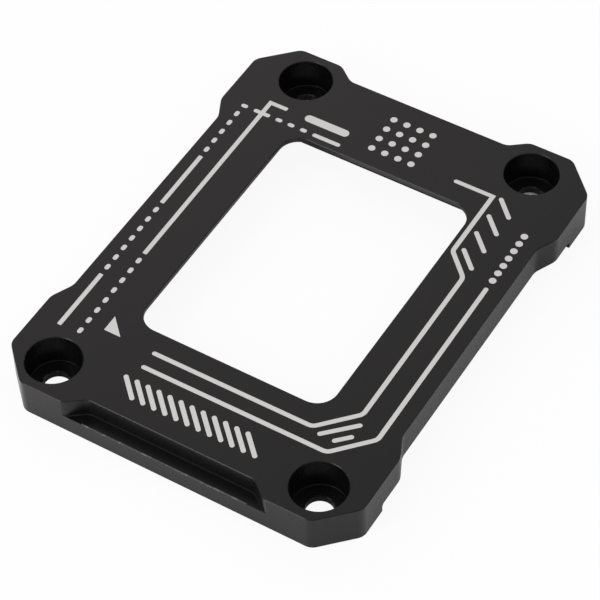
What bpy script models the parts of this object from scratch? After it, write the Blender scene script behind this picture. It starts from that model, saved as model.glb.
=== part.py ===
"""Retention frame for a processor socket, milled from one piece of aluminium and anodised black.

The frame lies on its feet with +Z up. Its long way is along Y, and the end with the pocket is at -Y.
"""

import math

import bmesh
import bpy

MM = 0.001

# Plate
LENGTH = 71.2 * MM
WIDTH = 54.0 * MM
THICKNESS = 6.0 * MM
CORNER_CHAMFER = 4.92 * MM
CORNER_RADIUS = 1.9 * MM
EDGE_BREAK = 0.1 * MM

# Waist of the long sides, between the ears of the two ends
EAR_LENGTH = 14.22 * MM
SIDE_INSET = 1.54 * MM
SIDE_SLOPE_RUN = 3.13 * MM
SIDE_RADIUS = 2.5 * MM

# Waist of the two ends, open at the rear and a pocket at the front
EAR_WIDTH = 11.66 * MM
END_INSET = 2.03 * MM
END_SLOPE_RUN = 2.64 * MM
END_RADIUS = 2.0 * MM
SHELF_THICKNESS = 3.05 * MM
SHELF_EDGE_BREAK = 0.15 * MM
POCKET_FILLET = 0.15 * MM
RUN_OUT = 0.03 * MM

# Window over the heat spreader, with a thin lip that presses on its rim
SIDE_RAIL = 12.24 * MM
FRONT_RAIL = 16.15 * MM
REAR_RAIL = 15.14 * MM
WINDOW_RADIUS = 3.0 * MM
LIP_THICKNESS = 0.7 * MM
LIP_AT_SIDES = 4.24 * MM
LIP_AT_ENDS = 2.88 * MM
RECESS_RADIUS = 2.5 * MM

# Feet under the corners and the front rail
FOOT_HEIGHT = 1.42 * MM
FRONT_FOOT = 9.6 * MM
REAR_FOOT = 10.0 * MM
REAR_FOOT_WIDTH = 14.3 * MM
FOOT_RADIUS = 1.2 * MM
FOOT_FILLET = 0.4 * MM

# Screw places, each a through hole under a deep counterbore
HEAD_BORE = 7.78 * MM
SCREW_HOLE = 3.9 * MM
SCREW_HOLE_CHAMFER = 0.12 * MM
SEAT_THICKNESS = 1.15 * MM
FRONT_SCREW_FROM_END = 5.25 * MM
FRONT_SCREW_FROM_SIDE = 6.7 * MM
REAR_SCREW_FROM_END = 5.15 * MM
REAR_SCREW_FROM_SIDE = 8.7 * MM

# How far a cutter reaches past what it cuts, and how round it is
OVERCUT = 2.0 * MM
ARC_STEP = math.radians(7.5)
FILLET_STEPS = 3
BORE_STEPS = 64
SHARP = math.radians(30)
WELD = 0.001 * MM

HALF_LENGTH = LENGTH / 2
HALF_WIDTH = WIDTH / 2


def clear_scene():
    for old in list(bpy.data.objects):
        bpy.data.objects.remove(old, do_unlink=True)


def new_collection(name):
    collection = bpy.data.collections.new(name)
    bpy.context.scene.collection.children.link(collection)
    return collection


def black_anodised():
    material = bpy.data.materials.new("black_anodised")
    material.use_nodes = True
    shader = material.node_tree.nodes["Principled BSDF"]
    shader.inputs["Base Color"].default_value = (0.022, 0.021, 0.021, 1.0)
    shader.inputs["Roughness"].default_value = 0.42
    shader.inputs["Metallic"].default_value = 0.6
    return material


def fillet(before, corner, after, radius):
    """Points of the arc that rounds one corner of an outline, kept within half of each of its sides."""
    x, y = corner
    to_before = math.atan2(before[1] - y, before[0] - x)
    to_after = math.atan2(after[1] - y, after[0] - x)
    opening = (to_after - to_before + math.pi) % (2 * math.pi) - math.pi
    half_opening = abs(opening) / 2
    room = min(math.dist(before, corner), math.dist(after, corner)) / 2
    tangent = min(radius / math.tan(half_opening), room)
    radius = tangent * math.tan(half_opening)
    towards_centre = to_before + opening / 2
    reach = tangent / math.cos(half_opening)
    centre_x = x + reach * math.cos(towards_centre)
    centre_y = y + reach * math.sin(towards_centre)
    turn = math.pi - abs(opening)
    steps = max(2, math.ceil(turn / ARC_STEP))
    sweep = math.copysign(turn, opening)
    first = towards_centre + math.pi + sweep / 2
    angles = [first - sweep * step / steps for step in range(steps + 1)]
    return [(centre_x + radius * math.cos(angle), centre_y + radius * math.sin(angle)) for angle in angles]


def rounded_outline(corners):
    """Closed outline through corners of (x, y, radius). A radius of 0 leaves the corner sharp."""
    outline = []
    for index, (x, y, radius) in enumerate(corners):
        before = corners[index - 1][:2]
        after = corners[(index + 1) % len(corners)][:2]
        if radius > 0:
            outline += fillet(before, (x, y), after, radius)
        else:
            outline.append((x, y))
    return outline


def mirrored_outline(right_side):
    """Outline of a symmetric shape from the corners of its right side, given from front to rear."""
    left_side = [(-x, y, radius) for x, y, radius in reversed(right_side)]
    return rounded_outline(right_side + left_side)


def extrude_outline(name, outline, low, high, collection):
    """Solid of a flat outline between two heights, as a mesh with one face on each side."""
    curve = bpy.data.curves.new(name, "CURVE")
    curve.dimensions = "2D"
    curve.fill_mode = "BOTH"
    curve.extrude = (high - low) / 2
    spline = curve.splines.new("POLY")
    spline.points.add(len(outline) - 1)
    for point, (x, y) in zip(spline.points, outline):
        point.co = (x, y, 0, 1)
    spline.use_cyclic_u = True
    flat = bpy.data.objects.new(name + "_outline", curve)
    flat.location.z = (low + high) / 2
    bpy.context.scene.collection.objects.link(flat)
    bpy.context.view_layer.update()

    graph = bpy.context.evaluated_depsgraph_get()
    mesh = bpy.data.meshes.new_from_object(flat.evaluated_get(graph))
    mesh.name = name
    solid = bpy.data.objects.new(name, mesh)
    solid.matrix_world = flat.matrix_world
    collection.objects.link(solid)
    bpy.data.objects.remove(flat, do_unlink=True)

    welded = bmesh.new()
    welded.from_mesh(mesh)
    bmesh.ops.remove_doubles(welded, verts=welded.verts, dist=WELD)
    bmesh.ops.dissolve_limit(welded, angle_limit=math.radians(1), verts=welded.verts, edges=welded.edges)
    bmesh.ops.recalc_face_normals(welded, faces=welded.faces)
    welded.to_mesh(mesh)
    welded.free()
    return solid


def bevel_rims(solid, heights, size, steps):
    """Chamfers, or with more steps rounds, the sharp edges round a solid's flat faces at some world heights."""
    mesh = bmesh.new()
    mesh.from_mesh(solid.data)
    levels = [height - solid.location.z for height in heights]
    rims = []
    for edge in mesh.edges:
        on_level = any(all(abs(vert.co.z - level) < WELD for vert in edge.verts) for level in levels)
        if on_level and edge.calc_face_angle() > SHARP:
            rims.append(edge)
    bmesh.ops.bevel(mesh, geom=rims, offset=size, segments=steps, profile=0.5, affect="EDGES", material=-1)
    bmesh.ops.triangulate(mesh, faces=mesh.faces)
    mesh.to_mesh(solid.data)
    mesh.free()


def plate(parts):
    """The plate with its eight-sided ends and the waist of its sides and rear."""
    ear_end = HALF_LENGTH - EAR_LENGTH
    waist_end = ear_end - SIDE_SLOPE_RUN
    waist_side = HALF_WIDTH - SIDE_INSET
    rear_ear = HALF_WIDTH - EAR_WIDTH
    right_side = [
        (HALF_WIDTH - CORNER_CHAMFER, -HALF_LENGTH, CORNER_RADIUS),
        (HALF_WIDTH, -HALF_LENGTH + CORNER_CHAMFER, CORNER_RADIUS),
        (HALF_WIDTH, -ear_end, SIDE_RADIUS),
        (waist_side, -waist_end, SIDE_RADIUS),
        (waist_side, waist_end, SIDE_RADIUS),
        (HALF_WIDTH, ear_end, SIDE_RADIUS),
        (HALF_WIDTH, HALF_LENGTH - CORNER_CHAMFER, CORNER_RADIUS),
        (HALF_WIDTH - CORNER_CHAMFER, HALF_LENGTH, CORNER_RADIUS),
        (rear_ear, HALF_LENGTH, END_RADIUS),
        (rear_ear - END_SLOPE_RUN, HALF_LENGTH - END_INSET, END_RADIUS),
    ]
    return extrude_outline("retention_frame", mirrored_outline(right_side), 0, THICKNESS, parts)


def pocket_cutter(cutters):
    """Clears the front waist down to the shelf. It runs out through the front face just past the tangent."""
    ear = HALF_WIDTH - EAR_WIDTH
    front = -HALF_LENGTH - RUN_OUT
    right_side = [
        (ear + OVERCUT, front - OVERCUT, 0),
        (ear + OVERCUT, front, 0),
        (ear, front, END_RADIUS),
        (ear - END_SLOPE_RUN, -HALF_LENGTH + END_INSET, END_RADIUS),
    ]
    outline = mirrored_outline(right_side)
    cutter = extrude_outline("pocket_cutter", outline, SHELF_THICKNESS, THICKNESS + OVERCUT, cutters)
    bevel_rims(cutter, [SHELF_THICKNESS], POCKET_FILLET, FILLET_STEPS)


def shelf_edge_cutter(cutters):
    """Breaks the shelf's front edge where it runs straight, between the two slopes of the pocket."""
    bpy.ops.mesh.primitive_cube_add(size=1, location=(0, -HALF_LENGTH, SHELF_THICKNESS))
    cutter = bpy.context.object
    cutter.name = "shelf_edge_cutter"
    side = SHELF_EDGE_BREAK * math.sqrt(2)
    ear = HALF_WIDTH - EAR_WIDTH
    cutter.scale = (2 * (ear - END_SLOPE_RUN), side, side)
    cutter.rotation_euler = (math.radians(45), 0, 0)
    for collection in cutter.users_collection:
        collection.objects.unlink(cutter)
    cutters.objects.link(cutter)


def rounded_rectangle(half_width, front, rear, radius):
    return mirrored_outline([(half_width, front, radius), (half_width, rear, radius)])


def window_cutter(cutters):
    outline = rounded_rectangle(
        HALF_WIDTH - SIDE_RAIL,
        -HALF_LENGTH + FRONT_RAIL,
        HALF_LENGTH - REAR_RAIL,
        WINDOW_RADIUS,
    )
    extrude_outline("window_cutter", outline, -OVERCUT, THICKNESS + OVERCUT, cutters)


def recess_cutter(cutters):
    """Hollows the underside round the window, up to the lip."""
    outline = rounded_rectangle(
        HALF_WIDTH - SIDE_RAIL + LIP_AT_SIDES,
        -HALF_LENGTH + FRONT_RAIL - LIP_AT_ENDS,
        HALF_LENGTH - REAR_RAIL + LIP_AT_ENDS,
        RECESS_RADIUS,
    )
    extrude_outline("recess_cutter", outline, -OVERCUT, THICKNESS - LIP_THICKNESS, cutters)


def foot_cutter(cutters):
    """Lifts the side rails and the rear rail off the board, and leaves the front foot and two rear feet."""
    side = HALF_WIDTH + OVERCUT
    foot_inside = HALF_WIDTH - REAR_FOOT_WIDTH
    right_side = [
        (side, -HALF_LENGTH + FRONT_FOOT, 0),
        (side, HALF_LENGTH - REAR_FOOT, 0),
        (foot_inside, HALF_LENGTH - REAR_FOOT, FOOT_RADIUS),
        (foot_inside, HALF_LENGTH + OVERCUT, 0),
    ]
    cutter = extrude_outline("foot_cutter", mirrored_outline(right_side), -OVERCUT, FOOT_HEIGHT, cutters)
    bevel_rims(cutter, [FOOT_HEIGHT], FOOT_FILLET, FILLET_STEPS)


def screw_cutter(name, x, y, cutters):
    """Counterbore and through hole of one screw, turned from one profile."""
    head_radius = HEAD_BORE / 2
    hole_radius = SCREW_HOLE / 2
    top = THICKNESS + OVERCUT
    profile = [
        (0, top),
        (head_radius, top),
        (head_radius, SEAT_THICKNESS),
        (hole_radius + SCREW_HOLE_CHAMFER, SEAT_THICKNESS),
        (hole_radius, SEAT_THICKNESS - SCREW_HOLE_CHAMFER),
        (hole_radius, -OVERCUT),
        (0, -OVERCUT),
    ]
    mesh = bpy.data.meshes.new(name)
    line = bmesh.new()
    verts = [line.verts.new((radius, 0, z)) for radius, z in profile]
    for start, end in zip(verts, verts[1:]):
        line.edges.new((start, end))
    line.to_mesh(mesh)
    line.free()
    cutter = bpy.data.objects.new(name, mesh)
    cutter.location = (x, y, 0)
    cutters.objects.link(cutter)

    screw = cutter.modifiers.new("turn", "SCREW")
    screw.axis = "Z"
    screw.angle = 2 * math.pi
    screw.steps = BORE_STEPS
    screw.render_steps = BORE_STEPS
    screw.use_merge_vertices = True
    screw.merge_threshold = WELD
    screw.use_smooth_shade = True


def screw_cutters(cutters):
    front_x = HALF_WIDTH - FRONT_SCREW_FROM_SIDE
    front_y = -HALF_LENGTH + FRONT_SCREW_FROM_END
    rear_x = HALF_WIDTH - REAR_SCREW_FROM_SIDE
    rear_y = HALF_LENGTH - REAR_SCREW_FROM_END
    screw_cutter("front_left_screw_cutter", -front_x, front_y, cutters)
    screw_cutter("front_right_screw_cutter", front_x, front_y, cutters)
    screw_cutter("rear_left_screw_cutter", -rear_x, rear_y, cutters)
    screw_cutter("rear_right_screw_cutter", rear_x, rear_y, cutters)


def cut(body, cutters):
    """Takes all the cutters from the body at once, because they run into each other."""
    for cutter in cutters.objects:
        cutter.hide_render = True
        cutter.display_type = "WIRE"
    boolean = body.modifiers.new("cuts", "BOOLEAN")
    boolean.operation = "DIFFERENCE"
    boolean.solver = "EXACT"
    boolean.operand_type = "COLLECTION"
    boolean.collection = cutters


def settle(body):
    """Keeps the cut shape as the body's own mesh."""
    bpy.context.view_layer.update()
    graph = bpy.context.evaluated_depsgraph_get()
    mesh = bpy.data.meshes.new_from_object(body.evaluated_get(graph))
    body.modifiers.clear()
    body.data = mesh
    mesh.name = body.name
    cleaned = bmesh.new()
    cleaned.from_mesh(mesh)
    bmesh.ops.remove_doubles(cleaned, verts=cleaned.verts, dist=WELD)
    cleaned.to_mesh(mesh)
    cleaned.free()


def shade_round_walls(body):
    body.data.shade_smooth()
    body.data.set_sharp_from_angle(angle=SHARP)


def main():
    clear_scene()
    parts = new_collection("processor_socket_frame")
    cutters = new_collection("cutters")

    body = plate(parts)
    pocket_cutter(cutters)
    shelf_edge_cutter(cutters)
    foot_cutter(cutters)
    recess_cutter(cutters)
    window_cutter(cutters)
    screw_cutters(cutters)
    cut(body, cutters)
    settle(body)
    bevel_rims(body, [0, THICKNESS], EDGE_BREAK, 1)
    shade_round_walls(body)
    body.data.materials.clear()
    body.data.materials.append(black_anodised())


main()
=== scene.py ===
"""Retention frame for a processor socket: its finish, the marking on its top face and a plain studio.

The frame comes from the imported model, in metres and with +Z up. The marks are laid out in millimetres
from the middle of the frame, as they are seen from above with the end that has the pocket in front.
"""

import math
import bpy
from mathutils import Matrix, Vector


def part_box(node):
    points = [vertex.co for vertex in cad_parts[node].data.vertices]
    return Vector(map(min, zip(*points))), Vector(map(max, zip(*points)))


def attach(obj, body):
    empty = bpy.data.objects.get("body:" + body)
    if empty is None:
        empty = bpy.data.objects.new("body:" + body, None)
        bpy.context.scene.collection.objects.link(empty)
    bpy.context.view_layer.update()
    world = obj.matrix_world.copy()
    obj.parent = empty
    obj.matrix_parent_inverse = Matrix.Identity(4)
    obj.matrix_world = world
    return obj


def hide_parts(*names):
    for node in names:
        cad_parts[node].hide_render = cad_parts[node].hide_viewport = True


bl_info = {
    "name": "Processor Socket Frame",
    "version": (1, 0, 0),
    "blender": (4, 5, 0),
    "location": "View3D > Sidebar > Socket Frame",
    "description": "Finishes a socket retention frame, marks its top face and sets it in a studio",
    "category": "Add Mesh",
}

import bmesh
import bpy
from mathutils import Matrix, Vector

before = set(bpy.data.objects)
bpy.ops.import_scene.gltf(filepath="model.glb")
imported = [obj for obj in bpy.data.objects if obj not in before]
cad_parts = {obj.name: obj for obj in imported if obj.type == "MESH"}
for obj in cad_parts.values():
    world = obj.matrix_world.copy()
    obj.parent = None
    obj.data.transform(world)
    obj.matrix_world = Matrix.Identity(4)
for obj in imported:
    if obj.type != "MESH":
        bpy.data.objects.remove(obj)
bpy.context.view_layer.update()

MM = 0.001
WELD = 0.001 * MM
FRAME_NODE = "retention_frame"
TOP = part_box(FRAME_NODE)[1].z

# Angles between two faces: up to the first they are one flat face, past the second their edge stays crisp,
# and past the third a hollow edge counts as square. The last sets no limit on the shape of joined facets
FLAT = math.radians(1)
CRISP = math.radians(35)
SQUARE_HOLLOW = math.radians(60)
ANY_SHAPE = math.radians(180)

# How much of a face's normal points up or down: on fillets, on broken edges and, at least, on a level face
FILLET_TILT = (0.1, 0.99)
BROKEN_EDGE_TILT = (0.65, 0.76)
LEVEL_TILT = 0.99

# Broken edges that face up below this level get lighter spots in full, the others to a share (wear and
# painted highlight)
DEEP = 0.7 * TOP
OUTER_WEAR_AND_GLINT = 0.8

# Fillet at the foot of each counterbore
SEAT_FILLET = 0.12 * MM

# Most of a noise lies in this range
NOISE_RANGE = (0.3, 0.7)

# Sizes of the slow change of the black and of its lighter edge spots, partly wear and partly painted
# highlight
SLOW_CHANGE = 9 * MM
RUBBED_GLINT_SPOT = 0.9 * MM

# How high the spots' noise has to be, at a share of 0, for a spot to begin, and how much higher where it is
# full
RUBBED_GLINT_FROM = 0.7
RUBBED_GLINT_FADE = 0.05

# How far the grain changes the black's roughness, and how much rougher its inner corners are
ROUGHNESS_CHANGE = 0.05
CORNER_ROUGHNESS = 0.45

# Width, depth and contrast of the marking's grain, and its least and greatest roughness
MARKING_GRAIN = 0.12 * MM
MARKING_GRAIN_DEPTH = 0.004 * MM
MARKING_CONTRAST = 0.12
MARKING_ROUGHNESS = (0.55, 0.75)

# Lines of the marking, as x, y and the radius of the bend there. A radius of 0 makes a square corner
BEND = 1.4
SQUARE_ENDED_LINES = [
    [(-23.28, 10.46, 0), (-23.27, 0.24, 0)],
    [(-23.27, -14.68, 0), (-23.26, -24.9, 0)],
    [(-17.46, 24.2, 0), (-20.25, 24.2, 0), (-20.23, -8.78, 0)],
]
ROUND_ENDED_LINES = [
    [(-11.86, 21.79, 0), (-7.39, 21.79, 0)],
    [
        (9.7, 23.92, 0),
        (15.78, 23.92, 0),
        (15.78, 12.45, 1.0),
        (19.31, 8.95, BEND),
        (19.31, -17.8, BEND),
        (14.6, -22.73, BEND),
        (-9.84, -22.73, 0),
    ],
    [(22.95, 8.96, 0), (22.97, -20.4, BEND), (18.3, -25.36, BEND), (-9.82, -25.36, 0)],
]

# Dashes that stand alone, from end to end, and their height as a share of the lines'
DASHES = [
    ((-21.59, 21.82), (-18.94, 21.82)),
    ((16.81, 24.23), (19.75, 21.28)),
    ((16.79, 20.68), (19.74, 17.78)),
    ((16.79, 17.12), (19.74, 14.23)),
    ((16.79, 13.58), (19.74, 10.68)),
    ((20.08, -19.32), (15.83, -23.5)),
    ((20.08, -21.48), (18.02, -23.52)),
]
DASH_HEIGHT = 0.8

# Middles of the small marks in rows
UPRIGHT_DOTS = [(-23.31, 19.98 - 2.01 * place) for place in range(5)]
UPRIGHT_DOTS += [(-23.27, -1.21 - 2.0 * place) for place in range(7)]
UPRIGHT_DOTS += [(-20.22, -10.2 - 2.015 * place) for place in range(8)]
LYING_DOTS = [(x, 21.82) for x in (-23.14, -17.43, -15.43, -13.38)]
ROUND_DOTS = [(22.99, 19.53 - 1.516 * place) for place in range(7)]

THICK_BAR = ((-14.49, 24.22), (-7.39, 24.22))
INDEX_TRIANGLE = [(-17.55, -20.0), (-17.55, -22.65), (-14.95, -22.65)]

# Plain ornaments in the middle of the rear and front rails. A stripe reaches as far sideways as it does up
DOT_GRID_MIDDLE = (-0.16, 26.8)
DOT_GRID_ROWS = 4
DOT_GRID_PITCH = 2.1
STRIPE_MIDDLE = (0.05, -29.15)
STRIPES = 12
STRIPE_PITCH = 1.7
STRIPE_REACH = 1.55

# Radii of the lines' square ends and of the triangle's corners
SQUARE_END_RADIUS = 0.15 * MM
TRIANGLE_RADIUS = 0.08 * MM

# How finely round shapes are divided
FILLET_SEGMENTS = 3
END_SEGMENTS = 8
BEND_STEPS = 6
DOT_SIDES = 24

# The way in which the floor's glow grows, how far it does so to either side of the middle, and the shares
# of what is set that it grows between
GLOW_WAY = (-0.84, -0.54, 0)
GLOW_REACH = 50 * MM
GLOW_SHARES = (0.45, 1.55)

# The middle of the screw holes when the floor is folded into a quarter, and the room round it in which
# the floor doesn't glow, so that the walls of the holes stay dark
SCREW_PLACE = (19.3 * MM, 30.4 * MM, 0)
SCREW_ROOM = 4 * MM

# Middle and half size of the floor that the window's rear wall reflects, and the share of that half size
# over which it glows in full
WINDOW_GLOW_MIDDLE = (4.5 * MM, 12 * MM, 0)
WINDOW_GLOW_REACH = (15.5 * MM, 4.4 * MM, 1)
WINDOW_GLOW_FULL = 0.8

# Axis of the rear screw holes when the floor is folded, and the middle and half width of the ring of floor
# round it that shows the shadow in full
REAR_SCREW = (18.3 * MM, 30.45 * MM, 0)
FOOT_SHADOW = 2.4 * MM
FOOT_SHADOW_REACH = 0.82 * MM

# The floor lies a little lower than the frame's feet, so that the two don't meet
FLOOR_LEVEL = -0.02 * MM
FLOOR_COLOUR = (0.95, 0.95, 0.95, 1)
WHITE = (1, 1, 1, 1)

# Place and width of each lamp
REAR_LAMP = ((-0.415, 0.294, 0.318), 0.60)
FRONT_LAMP = ((-0.175, -0.382, 0.272), 0.20)

# Width in millimetres of the camera's sensor, and the distance from which it sees
SENSOR_WIDTH = 36
CLIP_START = 0.01


class FrameFinishSettings(bpy.types.PropertyGroup):
    """Colour, grain and lighter edge spots of the black finish, the spots partly wear and partly painted
    highlight
    """

    black: bpy.props.FloatVectorProperty(
        name="Black",
        description="Colour of the anodised metal",
        subtype="COLOR",
        default=(0.0042, 0.0040, 0.0040),
        min=0,
        max=1,
    )
    shade_change: bpy.props.FloatProperty(
        name="Shade Change",
        description="How far the black gets lighter and darker over the surface",
        subtype="FACTOR",
        default=0.25,
        min=0,
        max=1,
    )
    roughness: bpy.props.FloatProperty(
        name="Roughness",
        description="How far the satin finish spreads what it reflects",
        subtype="FACTOR",
        default=0.3,
        min=0,
        max=1,
    )
    grain_size: bpy.props.FloatProperty(
        name="Grain Size",
        description="Width of the grain that blasting left in the metal",
        unit="LENGTH",
        default=0.14 * MM,
        min=0.01 * MM,
        precision=6,
    )
    grain_depth: bpy.props.FloatProperty(
        name="Grain Depth",
        description="Depth of the grain",
        unit="LENGTH",
        default=0.006 * MM,
        min=0,
        precision=6,
    )
    # Colour of the lighter edge spots: partly rubbed metal, partly a painted highlight
    worn_and_glint: bpy.props.FloatVectorProperty(
        name="Worn Edge",
        description="Colour of the metal where an edge has been rubbed",
        subtype="COLOR",
        default=(0.07, 0.07, 0.068),
        min=0,
        max=1,
    )
    # Share of the edges with lighter spots, which are partly wear and partly painted highlight
    wear_and_glint: bpy.props.FloatProperty(
        name="Wear",
        description="Share of the edges that has been rubbed",
        subtype="FACTOR",
        default=0.35,
        min=0,
        max=1,
    )


class MarkingSettings(bpy.types.PropertyGroup):
    """Colour and sizes of the marks on the top face"""

    colour: bpy.props.FloatVectorProperty(
        name="Marking",
        description="Colour of the marks on the top face",
        subtype="COLOR",
        default=(0.64, 0.635, 0.624),
        min=0,
        max=1,
    )
    line_width: bpy.props.FloatProperty(
        name="Line Width",
        description="Width of the lines and of the upright and lying dots",
        unit="LENGTH",
        default=0.66 * MM,
        min=0.1 * MM,
        precision=5,
    )
    dot_length: bpy.props.FloatProperty(
        name="Dot Length",
        description="Length of the upright and lying dots, and the width of the round ones",
        unit="LENGTH",
        default=1.04 * MM,
        min=0.1 * MM,
        precision=5,
    )
    bar_width: bpy.props.FloatProperty(
        name="Bar Width",
        description="Width of the thick bar",
        unit="LENGTH",
        default=1.3 * MM,
        min=0.1 * MM,
        precision=5,
    )
    height: bpy.props.FloatProperty(
        name="Height",
        description="How far the lines stand above the face",
        unit="LENGTH",
        default=0.01 * MM,
        min=0.001 * MM,
        precision=6,
    )
    turn: bpy.props.FloatProperty(
        name="Turn",
        description="How far the whole marking is turned on the face",
        subtype="ANGLE",
        default=math.radians(0.21),
    )


class StudioSettings(bpy.types.PropertyGroup):
    """Camera, light and floor"""

    camera_place: bpy.props.FloatVectorProperty(
        name="Camera",
        description="Where the camera stands",
        subtype="TRANSLATION",
        unit="LENGTH",
        default=(0.124274, -0.195012, 0.272358),
        precision=5,
    )
    camera_turn: bpy.props.FloatVectorProperty(
        name="Camera Turn",
        description="Which way the camera looks",
        subtype="EULER",
        default=tuple(math.radians(angle) for angle in (40.2351, 1.3118, 31.1783)),
    )
    lens: bpy.props.FloatProperty(
        name="Lens",
        description="Focal length in millimetres",
        default=156.919,
        min=10,
    )
    room_light: bpy.props.FloatProperty(
        name="Room Light",
        description="Strength of the even light from all round",
        default=0.7,
        min=0,
    )
    rear_power: bpy.props.FloatProperty(
        name="Rear Lamp",
        description="Power of the large lamp behind and to the left, whose sheen lies over the top face",
        unit="POWER",
        default=0.71,
        min=0,
    )
    front_power: bpy.props.FloatProperty(
        name="Front Lamp",
        description="Power of the soft lamp in front and to the left, which draws out the broken edges",
        unit="POWER",
        default=0.72,
        min=0,
    )
    rear_colour: bpy.props.FloatVectorProperty(
        name="Rear Lamp Colour",
        description="Colour of the lamp behind, which warms the sheen on the top face",
        subtype="COLOR",
        default=(1, 0.86, 0.89),
        min=0,
        max=1,
    )
    floor_size: bpy.props.FloatProperty(
        name="Floor Size",
        description="Width of the floor",
        unit="LENGTH",
        default=4.0,
        min=0.2,
    )
    floor_shadow: bpy.props.FloatProperty(
        name="Floor Shadow",
        description="How much of the object's shadow shows on the white floor",
        subtype="FACTOR",
        default=0.08,
        min=0,
        max=1,
    )
    floor_glow: bpy.props.FloatProperty(
        name="Floor Glow",
        description="Light that reflections of the floor round the frame gain",
        subtype="FACTOR",
        default=0.19,
        min=0,
        max=1,
    )
    window_glow: bpy.props.FloatProperty(
        name="Window Glow",
        description="Light that the reflection of the floor gains in the window's rear wall",
        default=1.4,
        min=0,
    )


def add_node(tree, kind, x, y, **values):
    """Adds a shader node at a place in the editor, with its settings."""
    node = tree.nodes.new(kind)
    node.location = (x, y)
    for name, value in values.items():
        setattr(node, name, value)
    return node


def feed(tree, node, values):
    """Gives a node's inputs in turn a number or colour, or a link where the value is a socket."""
    for socket, value in zip(node.inputs, values):
        if isinstance(value, bpy.types.NodeSocket):
            tree.links.new(value, socket)
        else:
            socket.default_value = value


def add_math(tree, operation, x, y, *values):
    """Adds a node that works on numbers, and returns its result."""
    node = add_node(tree, "ShaderNodeMath", x, y, operation=operation)
    feed(tree, node, values)
    return node.outputs["Value"]


def add_vector_math(tree, operation, x, y, *values):
    """Adds a node that works on vectors."""
    node = add_node(tree, "ShaderNodeVectorMath", x, y, operation=operation)
    feed(tree, node, values)
    return node


def add_range(tree, x, y, *values, **settings):
    """Adds a node that takes a value from one range to another, and returns its result."""
    node = add_node(tree, "ShaderNodeMapRange", x, y, **settings)
    feed(tree, node, values)
    return node.outputs["Result"]


def grain_group():
    """Fine grain: a shade around 1, from less to more by the contrast, and a height from 0 to 1."""
    group = bpy.data.node_groups.get("fine_grain")
    if group:
        return group
    group = bpy.data.node_groups.new("fine_grain", "ShaderNodeTree")
    group.interface.new_socket("Vector", in_out="INPUT", socket_type="NodeSocketVector")
    group.interface.new_socket("Size", in_out="INPUT", socket_type="NodeSocketFloat")
    group.interface.new_socket("Contrast", in_out="INPUT", socket_type="NodeSocketFloat")
    group.interface.new_socket("Shade", in_out="OUTPUT", socket_type="NodeSocketFloat")
    group.interface.new_socket("Height", in_out="OUTPUT", socket_type="NodeSocketFloat")
    links = group.links

    inside = add_node(group, "NodeGroupInput", -900, 0)
    scale = add_math(group, "DIVIDE", -700, -80, 1, inside.outputs["Size"])
    noise = add_node(group, "ShaderNodeTexNoise", -500, 60)
    noise.inputs["Detail"].default_value = 3
    noise.inputs["Roughness"].default_value = 0.6
    links.new(inside.outputs["Vector"], noise.inputs["Vector"])
    links.new(scale, noise.inputs["Scale"])

    low = add_math(group, "SUBTRACT", -500, -260, 1, inside.outputs["Contrast"])
    high = add_math(group, "ADD", -500, -420, 1, inside.outputs["Contrast"])
    shade = add_range(group, -260, -60, noise.outputs["Fac"], *NOISE_RANGE, low, high)

    outside = add_node(group, "NodeGroupOutput", 0, 0)
    links.new(shade, outside.inputs["Shade"])
    links.new(noise.outputs["Fac"], outside.inputs["Height"])
    return group


def place_grain(tree, coordinates, size, contrast, x, y):
    """Puts the grain group into a material with its own size and contrast."""
    grain = add_node(tree, "ShaderNodeGroup", x, y, node_tree=grain_group())
    grain.inputs["Size"].default_value = size
    grain.inputs["Contrast"].default_value = contrast
    tree.links.new(coordinates.outputs["Object"], grain.inputs["Vector"])
    return grain


def shaded(tree, colour, shade, x, y):
    """A colour made lighter and darker by a shade around 1."""
    scaled = add_vector_math(tree, "SCALE", x, y, colour)
    tree.links.new(shade, scaled.inputs["Scale"])
    return scaled.outputs["Vector"]


def relief(tree, height, depth, x, y):
    """A normal that follows a height from 0 to 1, as deep as is given."""
    bump = add_node(tree, "ShaderNodeBump", x, y)
    bump.inputs["Distance"].default_value = depth
    tree.links.new(height, bump.inputs["Height"])
    return bump.outputs["Normal"]


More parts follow.
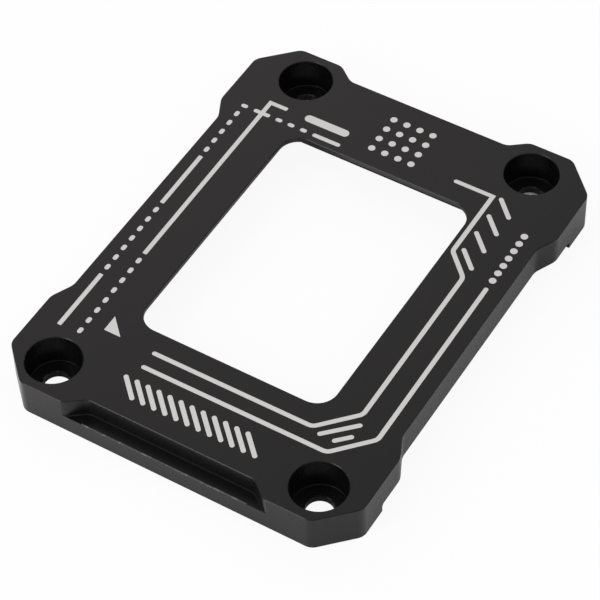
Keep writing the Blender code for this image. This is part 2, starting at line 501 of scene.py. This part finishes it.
def black_anodised(settings):
    """Satin black: fine grain, a slow change of shade, edge spots of wear and painted highlight, dull inner
    corners.
    """
    material = bpy.data.materials.get("fine_black_anodised")
    if material:
        return material
    material = bpy.data.materials.new("fine_black_anodised")
    material.use_nodes = True
    tree = material.node_tree
    links = tree.links
    shader = tree.nodes["Principled BSDF"]
    shader.inputs["Specular IOR Level"].default_value = 0.25
    coordinates = add_node(tree, "ShaderNodeTexCoord", -1500, 0)

    fine = place_grain(tree, coordinates, settings.grain_size, settings.shade_change, -1250, 100)
    broad = place_grain(tree, coordinates, SLOW_CHANGE, settings.shade_change / 2, -1250, -100)
    both = add_math(tree, "MULTIPLY", -1000, 50, fine.outputs["Shade"], broad.outputs["Shade"])
    black = shaded(tree, settings.black, both, -800, 50)

    # Lighter spots on the broken edges: partly real wear, partly a painted highlight, fullest on sunk edges
    # facing up
    edge = add_node(tree, "ShaderNodeAttribute", -1250, -350, attribute_name="broken_edge")
    spots = place_grain(tree, coordinates, RUBBED_GLINT_SPOT, 1, -1250, -550)
    worn_and_glint = add_math(tree, "MULTIPLY", -1000, -450, edge.outputs["Fac"], spots.outputs["Height"])
    start = RUBBED_GLINT_FROM - settings.wear_and_glint / 2
    rubbed_and_glint = add_range(tree, -800, -450, worn_and_glint, start, start + RUBBED_GLINT_FADE, interpolation_type="SMOOTHSTEP")

    colour = add_node(tree, "ShaderNodeMix", -550, 0, data_type="RGBA")
    colour.inputs["B"].default_value = (*settings.worn_and_glint, 1)
    links.new(rubbed_and_glint, colour.inputs["Factor"])
    links.new(black, colour.inputs["A"])
    links.new(colour.outputs["Result"], shader.inputs["Base Color"])

    least = settings.roughness - ROUGHNESS_CHANGE
    most = settings.roughness + ROUGHNESS_CHANGE
    roughness = add_range(tree, -550, -250, fine.outputs["Height"], *NOISE_RANGE, least, most)
    corner = add_node(tree, "ShaderNodeAttribute", -550, -550, attribute_name="inner_corner")
    dulled = add_math(tree, "MULTIPLY_ADD", -300, -250, corner.outputs["Fac"], CORNER_ROUGHNESS, roughness)
    links.new(dulled, shader.inputs["Roughness"])

    normal = relief(tree, fine.outputs["Height"], settings.grain_depth, -300, -450)
    links.new(normal, shader.inputs["Normal"])
    return material


def pale_marking(settings):
    """Matt, slightly mottled grey where a laser has cleared the black."""
    material = bpy.data.materials.get("fine_pale_marking")
    if material:
        return material
    material = bpy.data.materials.new("fine_pale_marking")
    material.use_nodes = True
    tree = material.node_tree
    links = tree.links
    shader = tree.nodes["Principled BSDF"]
    shader.inputs["Specular IOR Level"].default_value = 0.3
    coordinates = add_node(tree, "ShaderNodeTexCoord", -1000, 0)

    fine = place_grain(tree, coordinates, MARKING_GRAIN, MARKING_CONTRAST, -750, 100)
    colour = shaded(tree, settings.colour, fine.outputs["Shade"], -500, 100)
    links.new(colour, shader.inputs["Base Color"])
    roughness = add_range(tree, -500, -150, fine.outputs["Height"], *NOISE_RANGE, *MARKING_ROUGHNESS)
    links.new(roughness, shader.inputs["Roughness"])
    normal = relief(tree, fine.outputs["Height"], MARKING_GRAIN_DEPTH, -300, -400)
    links.new(normal, shader.inputs["Normal"])
    return material


def add_piece(name, shape, material):
    """Makes an object of a finished shape, which then goes with the frame."""
    bmesh.ops.remove_doubles(shape, verts=shape.verts, dist=WELD)
    bmesh.ops.recalc_face_normals(shape, faces=shape.faces)
    mesh = bpy.data.meshes.new(name)
    shape.to_mesh(mesh)
    shape.free()
    mesh.materials.append(material)
    piece = bpy.data.objects.new(name, mesh)
    bpy.context.scene.collection.objects.link(piece)
    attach(piece, "root")
    return piece


def round_off(shape, geom, radius, segments, affect):
    """Rounds edges, or the corners of a flat face."""
    bmesh.ops.bevel(
        shape,
        geom=geom,
        offset=radius,
        segments=segments,
        profile=0.5,
        affect=affect,
        material=-1,
    )


def middle(edge):
    """The point halfway along an edge."""
    return (edge.verts[0].co + edge.verts[1].co) / 2


def only(kind, geom):
    """Those of the made vertices, edges and faces that are of one kind."""
    return [item for item in geom if isinstance(item, kind)]


def carry(shape, edge, place):
    """Extrudes an edge until its middle is at a place, and returns the edge there."""
    made = bmesh.ops.extrude_edge_only(shape, edges=[edge])["geom"]
    verts = only(bmesh.types.BMVert, made)
    bmesh.ops.translate(shape, verts=verts, vec=place - middle(edge))
    return next(side for side in only(bmesh.types.BMEdge, made) if set(side.verts) == set(verts))


def square_corner(shape, edge, corner, heading, onward, width):
    """Carries an edge past a corner by half its length, and goes on from the side that faces onward."""
    edge = carry(shape, edge, corner - heading * width / 2)
    edge = carry(shape, edge, corner + heading * width / 2)
    return max(edge.link_faces[0].edges, key=lambda side: middle(side).dot(onward))


def round_corner(shape, edge, corner, heading, onward, radius):
    """Carries an edge up to a bend and spins it round the middle of the bend."""
    turn = math.atan2(heading.cross(onward).z, heading.dot(onward))
    edge = carry(shape, edge, corner - heading * radius * math.tan(abs(turn) / 2))
    inward = Vector((-heading.y, heading.x, 0)) * math.copysign(radius, turn)
    made = bmesh.ops.spin(
        shape,
        geom=[edge, *edge.verts],
        cent=middle(edge) + inward,
        axis=(0, 0, 1),
        angle=turn,
        steps=BEND_STEPS,
    )
    return only(bmesh.types.BMEdge, made["geom_last"])[0]


def stroke(shape, path, width, end_radius):
    """A flat line along a path of x, y and the bend's radius at each of its points."""
    points = [Vector((x, y, 0)) * MM for x, y, radius in path]
    headings = [(end - start).normalized() for start, end in zip(points, points[1:])]
    across = Vector((-headings[0].y, headings[0].x, 0)) * width / 2
    edge = shape.edges.new([shape.verts.new(points[0] - across), shape.verts.new(points[0] + across)])
    ends = list(edge.verts)
    for index, (heading, onward) in enumerate(zip(headings, headings[1:]), start=1):
        radius = path[index][2] * MM
        if radius > 0:
            edge = round_corner(shape, edge, points[index], heading, onward, radius)
        else:
            edge = square_corner(shape, edge, points[index], heading, onward, width)
    edge = carry(shape, edge, points[-1])
    ends += edge.verts
    round_off(shape, ends, end_radius, END_SEGMENTS, "VERTICES")


def straight_stroke(shape, start, end, width):
    """A flat line with round ends from one x and y to another."""
    stroke(shape, [(*start, 0), (*end, 0)], width, width / 2)


def round_dot(shape, x, y, width):
    """A flat disc."""
    place = Matrix.Translation(Vector((x, y, 0)) * MM)
    bmesh.ops.create_circle(shape, cap_ends=True, segments=DOT_SIDES, radius=width / 2, matrix=place)


def long_dot(shape, x, y, width, length, heading):
    """A short line with round ends, whose length is that between the middles of its ends."""
    reach = heading * length / MM / 2
    straight_stroke(shape, (x - reach.x, y - reach.y), (x + reach.x, y + reach.y), width)


def raise_marks(shape, height, turn):
    """Makes flat marks solid, as far into the top face as they stand out of it, and turns them."""
    made = bmesh.ops.extrude_face_region(shape, geom=shape.faces[:])["geom"]
    bmesh.ops.translate(shape, verts=only(bmesh.types.BMVert, made), vec=(0, 0, 2 * height))
    bmesh.ops.translate(shape, verts=shape.verts, vec=(0, 0, TOP - height))
    bmesh.ops.rotate(shape, verts=shape.verts, cent=(0, 0, 0), matrix=Matrix.Rotation(turn, 3, "Z"))


def add_marks(name, shape, settings, height):
    """Makes a piece of flat marks."""
    raise_marks(shape, height, settings.turn)
    add_piece(name, shape, pale_marking(settings))


def seat_feet(shape):
    """The square hollow edges round level faces, which are the feet of the counterbores."""
    hollows = [edge for edge in shape.edges if edge.calc_face_angle_signed() < -SQUARE_HOLLOW]
    return [edge for edge in hollows if max(face.normal.z for face in edge.link_faces) > LEVEL_TILT]


class SOCKETFRAME_OT_body(bpy.types.Operator):
    """Join the facets of a copy of the frame, round the feet of its counterbores and finish it in black"""

    bl_idname = "socketframe.body"
    bl_label = "Frame Body"

    def execute(self, context):
        shape = bmesh.new()
        shape.from_mesh(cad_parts[FRAME_NODE].data)
        bmesh.ops.remove_doubles(shape, verts=shape.verts, dist=WELD)
        bmesh.ops.join_triangles(
            shape,
            faces=shape.faces,
            angle_face_threshold=FLAT,
            angle_shape_threshold=ANY_SHAPE,
        )

        broken_edge = shape.faces.layers.float.new("broken_edge")
        inner_corner = shape.faces.layers.float.new("inner_corner")
        for face in shape.faces:
            tilt = abs(face.normal.z)
            along = [edge for edge in face.edges if abs(edge.verts[0].co.z - edge.verts[1].co.z) < WELD]
            hollow = any(edge.calc_face_angle_signed() < -FLAT for edge in along)
            if hollow and FILLET_TILT[0] < tilt < FILLET_TILT[1]:
                face[inner_corner] = 1
            # Broken edges get the lighter spots, partly wear and partly painted highlight; sunk ones facing
            # up in full
            elif not hollow and BROKEN_EDGE_TILT[0] < tilt < BROKEN_EDGE_TILT[1]:
                sunk = face.normal.z > 0 and face.calc_center_median().z < DEEP
                face[broken_edge] = 1 if sunk else OUTER_WEAR_AND_GLINT

        round_off(shape, seat_feet(shape), SEAT_FILLET, FILLET_SEGMENTS, "EDGES")
        material = black_anodised(context.scene.frame_finish)
        body = add_piece("frame_body", shape, material)
        body.data.attributes.remove(body.data.attributes["custom_normal"])
        body.data.shade_smooth()
        body.data.set_sharp_from_angle(angle=CRISP)
        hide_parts(FRAME_NODE)
        weighted = body.modifiers.new("flat faces stay flat", "WEIGHTED_NORMAL")
        weighted.keep_sharp = True
        weighted.mode = "FACE_AREA_WITH_ANGLE"
        return {"FINISHED"}


class SOCKETFRAME_OT_lines(bpy.types.Operator):
    """Mark the long lines and the thick bar on the top face"""

    bl_idname = "socketframe.lines"
    bl_label = "Lines"

    def execute(self, context):
        settings = context.scene.frame_marking
        shape = bmesh.new()
        for path in SQUARE_ENDED_LINES:
            stroke(shape, path, settings.line_width, SQUARE_END_RADIUS)
        for path in ROUND_ENDED_LINES:
            stroke(shape, path, settings.line_width, settings.line_width / 2)
        straight_stroke(shape, *THICK_BAR, settings.bar_width)
        add_marks("top_lines", shape, settings, settings.height)
        return {"FINISHED"}


class SOCKETFRAME_OT_dots(bpy.types.Operator):
    """Mark the rows of dots on the top face"""

    bl_idname = "socketframe.dots"
    bl_label = "Dots"

    def execute(self, context):
        settings = context.scene.frame_marking
        shape = bmesh.new()
        for x, y in UPRIGHT_DOTS:
            long_dot(shape, x, y, settings.line_width, settings.dot_length, Vector((0, 1)))
        for x, y in LYING_DOTS:
            long_dot(shape, x, y, settings.line_width, settings.dot_length, Vector((1, 0)))
        for x, y in ROUND_DOTS:
            round_dot(shape, x, y, settings.dot_length)
        add_marks("top_dots", shape, settings, settings.height)
        return {"FINISHED"}


class SOCKETFRAME_OT_dashes(bpy.types.Operator):
    """Mark the dashes on the top face, a little lower than the lines, because one crosses a line"""

    bl_idname = "socketframe.dashes"
    bl_label = "Dashes"

    def execute(self, context):
        settings = context.scene.frame_marking
        shape = bmesh.new()
        for start, end in DASHES:
            straight_stroke(shape, start, end, settings.line_width)
        add_marks("top_dashes", shape, settings, settings.height * DASH_HEIGHT)
        return {"FINISHED"}


class SOCKETFRAME_OT_index(bpy.types.Operator):
    """Mark the small triangle that shows the processor's first contact"""

    bl_idname = "socketframe.index"
    bl_label = "Index Triangle"

    def execute(self, context):
        settings = context.scene.frame_marking
        shape = bmesh.new()
        corners = [shape.verts.new(Vector((x, y, 0)) * MM) for x, y in INDEX_TRIANGLE]
        bmesh.ops.contextual_create(shape, geom=corners)
        round_off(shape, corners, TRIANGLE_RADIUS, FILLET_SEGMENTS, "VERTICES")
        add_marks("index_triangle", shape, settings, settings.height)
        return {"FINISHED"}


class SOCKETFRAME_OT_ornaments(bpy.types.Operator):
    """Mark a grid of dots on the rear rail and a row of slanted stripes on the front rail"""

    bl_idname = "socketframe.ornaments"
    bl_label = "Rail Ornaments"

    def execute(self, context):
        settings = context.scene.frame_marking
        grid = bmesh.new()
        x, y = DOT_GRID_MIDDLE
        reach = (DOT_GRID_ROWS - 1) / 2
        for row in range(DOT_GRID_ROWS):
            for column in range(DOT_GRID_ROWS):
                place = (x + (column - reach) * DOT_GRID_PITCH, y + (row - reach) * DOT_GRID_PITCH)
                round_dot(grid, *place, settings.dot_length)
        add_marks("dot_grid", grid, settings, settings.height)

        stripes = bmesh.new()
        x, y = STRIPE_MIDDLE
        for index in range(STRIPES):
            across = x + (index - (STRIPES - 1) / 2) * STRIPE_PITCH
            start = (across - STRIPE_REACH, y + STRIPE_REACH)
            end = (across + STRIPE_REACH, y - STRIPE_REACH)
            straight_stroke(stripes, start, end, settings.line_width)
        add_marks("slanted_stripes", stripes, settings, settings.height)
        return {"FINISHED"}


def floor_gain(tree, place, folded, settings):
    """What the floor gains in reflections, most of all where the window's rear wall reflects it."""
    from_holes = add_vector_math(tree, "DISTANCE", -1100, 0, folded, SCREW_PLACE)
    clear = add_math(tree, "GREATER_THAN", -900, 0, from_holes.outputs["Value"], SCREW_ROOM)

    along = add_vector_math(tree, "DOT_PRODUCT", -1100, -200, place, GLOW_WAY)
    shares = [settings.floor_glow * share for share in GLOW_SHARES]
    uneven = add_range(tree, -900, -200, along.outputs["Value"], -GLOW_REACH, GLOW_REACH, *shares)

    from_middle = add_vector_math(tree, "SUBTRACT", -1500, -500, place, WINDOW_GLOW_MIDDLE)
    part = add_vector_math(tree, "DIVIDE", -1300, -500, from_middle.outputs["Vector"], WINDOW_GLOW_REACH)
    mirrored = add_vector_math(tree, "ABSOLUTE", -1100, -500, part.outputs["Vector"])
    sides = add_node(tree, "ShaderNodeSeparateXYZ", -900, -500)
    tree.links.new(mirrored.outputs["Vector"], sides.inputs["Vector"])
    furthest = add_math(tree, "MAXIMUM", -700, -500, sides.outputs["X"], sides.outputs["Y"])
    in_window = add_range(tree, -500, -500, furthest, 1, WINDOW_GLOW_FULL, 0, settings.window_glow)

    gained = add_math(tree, "ADD", -700, -200, uneven, in_window)
    return add_math(tree, "MULTIPLY", -500, -100, clear, gained)


def foot_shadow(tree, place, folded):
    """1 in a ring round each rear screw hole, and 0 elsewhere."""
    from_screw = add_vector_math(tree, "DISTANCE", -1100, 250, folded, REAR_SCREW)
    distance = from_screw.outputs["Value"]
    ring = add_math(tree, "COMPARE", -900, 250, distance, FOOT_SHADOW, FOOT_SHADOW_REACH)
    sides = add_node(tree, "ShaderNodeSeparateXYZ", -1100, 400)
    tree.links.new(place, sides.inputs["Vector"])
    rear = add_math(tree, "GREATER_THAN", -900, 400, sides.outputs["Y"], 0)
    return add_math(tree, "MULTIPLY", -700, 300, ring, rear)


def floor_material(settings):
    """White to the camera but for its shadow, full in two small rings, and brighter in reflections."""
    material = bpy.data.materials.new("white_floor")
    material.use_nodes = True
    tree = material.node_tree
    links = tree.links
    tree.nodes.clear()
    path = add_node(tree, "ShaderNodeLightPath", -700, 600)
    coordinates = add_node(tree, "ShaderNodeTexCoord", -1700, 0)
    place = coordinates.outputs["Object"]
    folded = add_vector_math(tree, "ABSOLUTE", -1500, 0, place).outputs["Vector"]

    gain = floor_gain(tree, place, folded, settings)
    strength = add_math(tree, "MULTIPLY", -300, 0, path.outputs["Is Glossy Ray"], gain)
    glow = add_node(tree, "ShaderNodeEmission", -100, 0)
    links.new(strength, glow.inputs["Strength"])
    lit = add_node(tree, "ShaderNodeBsdfDiffuse", -100, -150)
    lit.inputs["Color"].default_value = FLOOR_COLOUR
    real = add_node(tree, "ShaderNodeAddShader", 100, -50)
    links.new(glow.outputs["Emission"], real.inputs[0])
    links.new(lit.outputs["BSDF"], real.inputs[1])

    # Outside the rings a camera ray meets white, with a share of the floor that carries the shadow
    shadow = foot_shadow(tree, place, folded)
    white_seen = add_math(tree, "GREATER_THAN", -500, 350, path.outputs["Is Camera Ray"], shadow)
    seen = add_math(tree, "MULTIPLY", -300, 300, white_seen, 1 - settings.floor_shadow)
    white = add_node(tree, "ShaderNodeEmission", 100, 100)
    mixed = add_node(tree, "ShaderNodeMixShader", 300, 0)
    links.new(seen, mixed.inputs["Fac"])
    links.new(real.outputs["Shader"], mixed.inputs[1])
    links.new(white.outputs["Emission"], mixed.inputs[2])
    output = add_node(tree, "ShaderNodeOutputMaterial", 500, 0)
    links.new(mixed.outputs["Shader"], output.inputs["Surface"])
    return material


def add_floor(settings):
    """The plain floor, which isn't part of the object."""
    shape = bmesh.new()
    low = Matrix.Translation((0, 0, FLOOR_LEVEL))
    bmesh.ops.create_grid(shape, x_segments=1, y_segments=1, size=settings.floor_size / 2, matrix=low)
    mesh = bpy.data.meshes.new("floor")
    shape.to_mesh(mesh)
    shape.free()
    mesh.materials.append(floor_material(settings))
    floor = bpy.data.objects.new("floor", mesh)
    bpy.context.scene.collection.objects.link(floor)


def studio_world(settings):
    """White to the camera, and an even light to everything else."""
    world = bpy.data.worlds.new("studio")
    world.use_nodes = True
    tree = world.node_tree
    links = tree.links
    tree.nodes.clear()
    path = add_node(tree, "ShaderNodeLightPath", -100, 400)
    light = add_node(tree, "ShaderNodeBackground", -100, -100)
    light.inputs["Color"].default_value = WHITE
    light.inputs["Strength"].default_value = settings.room_light
    white = add_node(tree, "ShaderNodeBackground", -100, 50)
    white.inputs["Color"].default_value = WHITE
    mixed = add_node(tree, "ShaderNodeMixShader", 150, 0)
    links.new(path.outputs["Is Camera Ray"], mixed.inputs["Fac"])
    links.new(light.outputs["Background"], mixed.inputs[1])
    links.new(white.outputs["Background"], mixed.inputs[2])
    output = add_node(tree, "ShaderNodeOutputWorld", 400, 0)
    links.new(mixed.outputs["Shader"], output.inputs["Surface"])
    return world


def add_lamp(name, place, size, power, colour):
    """A soft square lamp that faces the frame."""
    light = bpy.data.lights.new(name, "AREA")
    light.size = size
    light.energy = power
    light.color = colour
    lamp = bpy.data.objects.new(name, light)
    lamp.location = place
    lamp.rotation_euler = (-Vector(place)).to_track_quat("-Z", "Y").to_euler()
    bpy.context.scene.collection.objects.link(lamp)


def add_camera(settings):
    """The camera, with everything in focus."""
    lens = bpy.data.cameras.new("camera")
    lens.sensor_width = SENSOR_WIDTH
    lens.lens = settings.lens
    lens.clip_start = CLIP_START
    camera = bpy.data.objects.new("camera", lens)
    camera.location = settings.camera_place
    camera.rotation_euler = settings.camera_turn
    bpy.context.scene.collection.objects.link(camera)
    return camera


class SOCKETFRAME_OT_stage(bpy.types.Operator):
    """Set up the white floor, the soft light and the camera"""

    bl_idname = "socketframe.stage"
    bl_label = "Studio"

    def execute(self, context):
        scene = context.scene
        settings = scene.frame_studio
        add_floor(settings)
        scene.world = studio_world(settings)
        add_lamp("rear_lamp", *REAR_LAMP, settings.rear_power, settings.rear_colour)
        add_lamp("front_lamp", *FRONT_LAMP, settings.front_power, WHITE[:3])
        scene.camera = add_camera(settings)
        scene.view_settings.view_transform = "Standard"
        return {"FINISHED"}


class SOCKETFRAME_PT_panel(bpy.types.Panel):
    """The frame's sizes and colours, and the steps that make it"""

    bl_idname = "SOCKETFRAME_PT_panel"
    bl_label = "Socket Frame"
    bl_space_type = "VIEW_3D"
    bl_region_type = "UI"
    bl_category = "Socket Frame"

    def draw(self, context):
        layout = self.layout
        scene = context.scene
        for settings in (scene.frame_finish, scene.frame_marking, scene.frame_studio):
            box = layout.box()
            for name in settings.__annotations__:
                box.prop(settings, name)
        for operator in OPERATORS:
            layout.operator(operator.bl_idname)


OPERATORS = (
    SOCKETFRAME_OT_body,
    SOCKETFRAME_OT_lines,
    SOCKETFRAME_OT_dots,
    SOCKETFRAME_OT_dashes,
    SOCKETFRAME_OT_index,
    SOCKETFRAME_OT_ornaments,
    SOCKETFRAME_OT_stage,
)
CLASSES = (FrameFinishSettings, MarkingSettings, StudioSettings, *OPERATORS, SOCKETFRAME_PT_panel)


def register():
    for added in CLASSES:
        bpy.utils.register_class(added)
    bpy.types.Scene.frame_finish = bpy.props.PointerProperty(type=FrameFinishSettings)
    bpy.types.Scene.frame_marking = bpy.props.PointerProperty(type=MarkingSettings)
    bpy.types.Scene.frame_studio = bpy.props.PointerProperty(type=StudioSettings)


def unregister():
    del bpy.types.Scene.frame_studio
    del bpy.types.Scene.frame_marking
    del bpy.types.Scene.frame_finish
    for added in reversed(CLASSES):
        bpy.utils.unregister_class(added)


def main():
    register()
    bpy.ops.socketframe.body()
    bpy.ops.socketframe.lines()
    bpy.ops.socketframe.dots()
    bpy.ops.socketframe.dashes()
    bpy.ops.socketframe.index()
    bpy.ops.socketframe.ornaments()
    bpy.ops.socketframe.stage()


if __name__ == "__main__":
    main()
